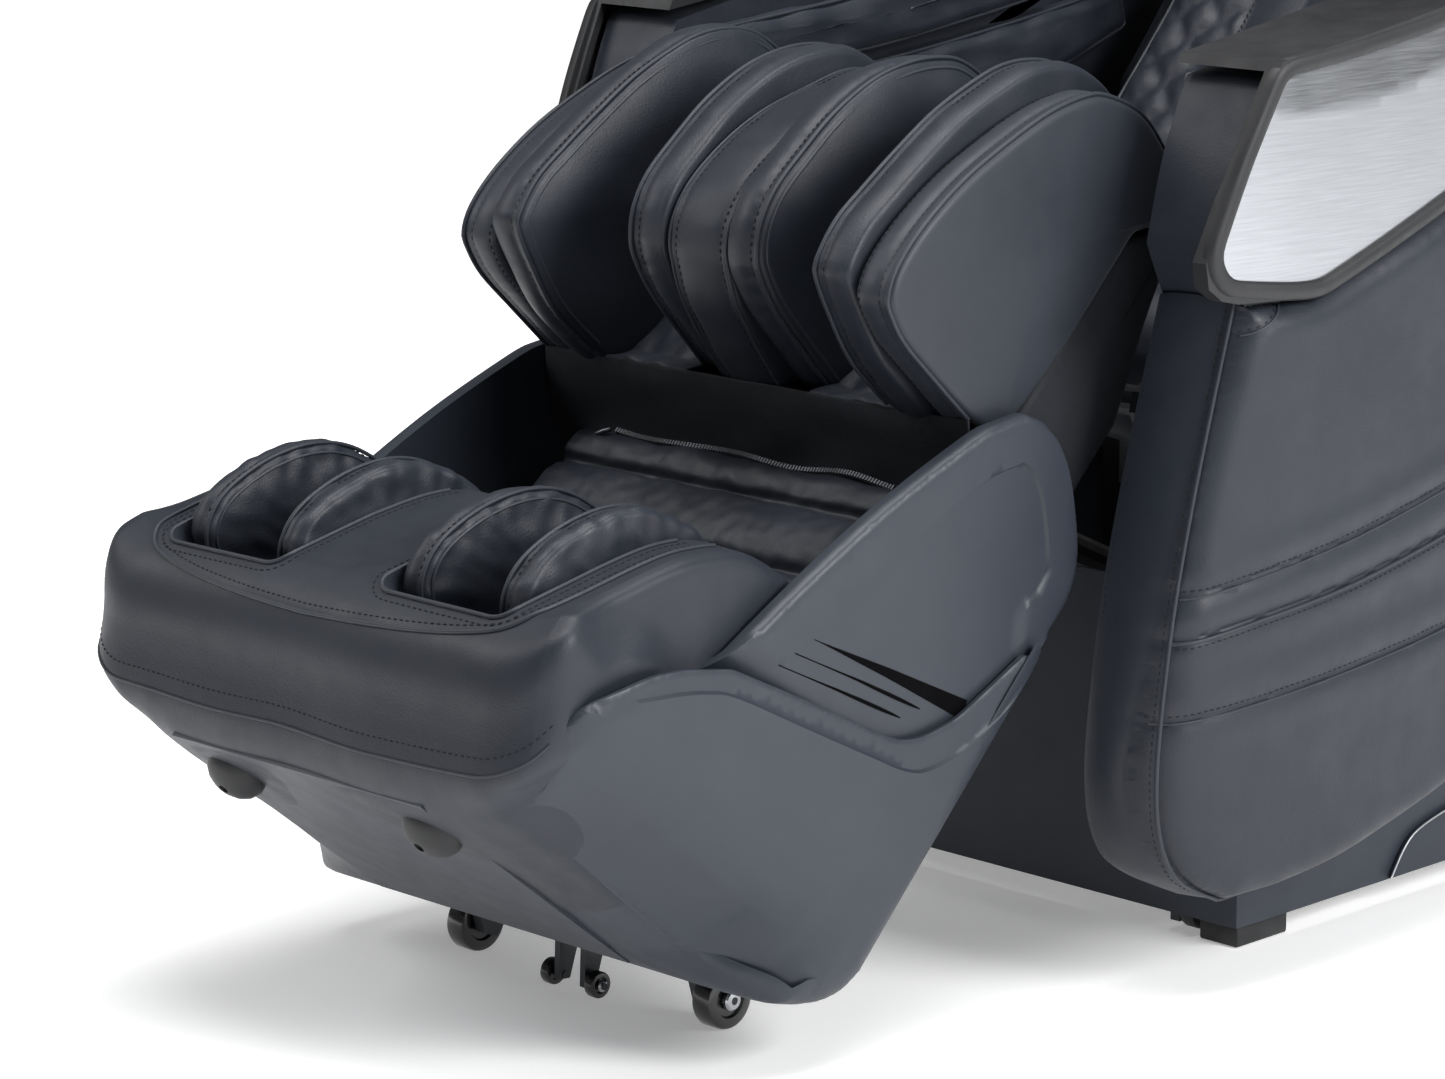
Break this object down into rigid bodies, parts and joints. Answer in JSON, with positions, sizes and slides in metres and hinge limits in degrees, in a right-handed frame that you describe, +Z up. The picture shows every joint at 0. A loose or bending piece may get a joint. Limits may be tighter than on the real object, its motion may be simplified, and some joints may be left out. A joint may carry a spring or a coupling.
{
  "type": "massage chair",
  "caption": "Reclining massage chair with padded arms, brushed side panels, a deep calf rest and a sliding foot box with wells for the feet.",
  "frame": {"origin": "middle of the footprint of the bounding box, on the floor", "axes": "+Z up, the chair faces -Y, +X is the right-hand side seen from the front"},
  "size_m": [0.8002, 1.7134, 1.249],
  "materials": {
    "leather": "soft black padded leather",
    "lining": "black woven lining",
    "shell": "dark grey satin moulded cover",
    "black_plastic": "black semi-gloss moulding",
    "brushed": "brushed silver",
    "rubber": "black",
    "steel": "black coated steel",
    "bright_steel": "ground steel"
  },
  "bodies": {
    "base": {"base_frame": "steel", "air_pump": "steel", "back_actuator": "steel", "leg_actuator": "steel", "knee_pin": "bright_steel", "base_cover": "shell", "rear_side_cover_left": "shell", "rear_side_cover_right": "shell", "base_foot_left": "rubber", "base_foot_right": "rubber", "control_box": "black_plastic", "arm_rim_left": "black_plastic", "arm_rim_right": "black_plastic", "arm_panel_left": "brushed", "arm_panel_right": "brushed", "seat_cushion": "leather", "arm_body_left": "leather", "arm_body_right": "leather", "arm_pad_left": "leather", "arm_pad_right": "leather", "hip_pad_left": "leather", "hip_pad_right": "leather"},
    "backrest": {"back_shell": "shell", "back_track": "steel", "back_cushion": "leather", "side_wing_left": "leather", "side_wing_right": "leather"},
    "head_cushion": {"head_pillow": "leather"},
    "carriage": {"massage_carriage": "steel"},
    "kneader_left": {"kneading_wheel_left": "rubber"},
    "kneader_right": {"kneading_wheel_right": "rubber"},
    "back_ram_rod": {"back_rod": "bright_steel"},
    "leg_rest": {"leg_frame": "steel", "calf_cover_left": "shell", "calf_cover_right": "shell", "calf_liner": "lining", "calf_divider": "leather", "calf_wing_left": "leather", "calf_wing_right": "leather", "calf_pads_left": "leather", "calf_pads_right": "leather", "calf_bellows": "leather"},
    "leg_ram_rod": {"leg_rod": "bright_steel"},
    "foot_section": {"foot_frame": "steel", "foot_shell": "shell", "foot_box": "leather", "foot_pads_left": "leather", "foot_pads_right": "leather", "foot_bumper_left": "rubber", "foot_bumper_right": "rubber"},
    "sole_roller": {"sole_roller": "rubber"},
    "caster_left": {"caster_wheel_left": "rubber"},
    "caster_right": {"caster_wheel_right": "rubber"},
    "small_roller_left": {"small_roller_left": "rubber"},
    "small_roller_right": {"small_roller_right": "rubber"},
    "transport_wheel_left": {"transport_wheel_left": "rubber"},
    "transport_wheel_right": {"transport_wheel_right": "rubber"},
    "remote_arm": {"remote_stand": "black_plastic"},
    "remote_screen": {"remote_tablet": "black_plastic"},
    "power_rocker": {"power_switch": "black_plastic"}
  },
  "joints": [
    {"name": "recline", "type": "hinge", "parent": "base", "child": "backrest", "pos_m": [0, 0.37035, 0.45], "axis": [-1, 0, 0], "range_deg": [0, 35]},
    {"name": "back_rod_slide", "type": "slide", "parent": "base", "child": "back_ram_rod", "axis": [0, -1, 0], "range_m": [0, 0.0602]},
    {"name": "leg_lift", "type": "hinge", "parent": "base", "child": "leg_rest", "pos_m": [0, -0.06965, 0.45], "axis": [-1, 0, 0], "range_deg": [0, 50]},
    {"name": "leg_rod_slide", "type": "slide", "parent": "base", "child": "leg_ram_rod", "axis": [0, -0.9102, 0.4141], "range_m": [0, 0.0998]},
    {"name": "foot_slide", "type": "slide", "parent": "leg_rest", "child": "foot_section", "axis": [0, 0.7071, 0.7071], "range_m": [0, 0.12], "deforming": ["calf_bellows"]},
    {"name": "sole_roller_spin", "type": "hinge", "parent": "foot_section", "child": "sole_roller", "pos_m": [0, -0.66928, 0.27464], "axis": [1, 0, 0], "continuous": true},
    {"name": "caster_left_spin", "type": "hinge", "parent": "foot_section", "child": "caster_left", "pos_m": [-0.145, -0.50965, 0.0245], "axis": [1, 0, 0], "continuous": true},
    {"name": "caster_right_spin", "type": "hinge", "parent": "foot_section", "child": "caster_right", "pos_m": [0.145, -0.50965, 0.0245], "axis": [1, 0, 0], "continuous": true},
    {"name": "small_roller_left_spin", "type": "hinge", "parent": "foot_section", "child": "small_roller_left", "pos_m": [-0.026, -0.5321, 0.01301], "axis": [1, 0, 0], "continuous": true},
    {"name": "small_roller_right_spin", "type": "hinge", "parent": "foot_section", "child": "small_roller_right", "pos_m": [0.026, -0.5321, 0.01301], "axis": [1, 0, 0], "continuous": true},
    {"name": "transport_wheel_left_spin", "type": "hinge", "parent": "base", "child": "transport_wheel_left", "pos_m": [-0.2465, -0.04365, 0.02], "axis": [1, 0, 0], "continuous": true},
    {"name": "transport_wheel_right_spin", "type": "hinge", "parent": "base", "child": "transport_wheel_right", "pos_m": [0.2465, -0.04365, 0.02], "axis": [1, 0, 0], "continuous": true},
    {"name": "carriage_travel", "type": "slide", "parent": "backrest", "child": "carriage", "axis": [0, 0.5, 0.866], "range_m": [-0.12, 0.1]},
    {"name": "kneader_left_spin", "type": "hinge", "parent": "carriage", "child": "kneader_left", "pos_m": [-0.048, 0.66935, 0.8845], "axis": [1, 0, 0], "continuous": true},
    {"name": "kneader_right_spin", "type": "hinge", "parent": "carriage", "child": "kneader_right", "pos_m": [0.048, 0.66935, 0.8845], "axis": [1, 0, 0], "continuous": true},
    {"name": "head_pillow_flip", "type": "hinge", "parent": "backrest", "child": "head_cushion", "pos_m": [0, 0.68235, 1.168], "axis": [-1, 0, 0], "range_deg": [0, 100]},
    {"name": "remote_swivel", "type": "hinge", "parent": "base", "child": "remote_arm", "pos_m": [0.333, 0.07535, 0.87], "axis": [0, 0, 1], "range_deg": [-45, 60]},
    {"name": "remote_tilt", "type": "hinge", "parent": "remote_arm", "child": "remote_screen", "pos_m": [0.333, 0.07535, 0.953], "axis": [0.7071, 0.7071, 0], "range_deg": [-12, 12]},
    {"name": "power_switch_rock", "type": "hinge", "parent": "base", "child": "power_rocker", "pos_m": [-0.038, 0.53935, 0.14], "axis": [1, 0, 0], "range_deg": [0, 10]}
  ],
  "couplings": [
    {"joint": "back_rod_slide", "follows": "recline", "m_per_rad": 0.0985},
    {"joint": "leg_rod_slide", "follows": "leg_lift", "m_per_rad": 0.1143}
  ]
}
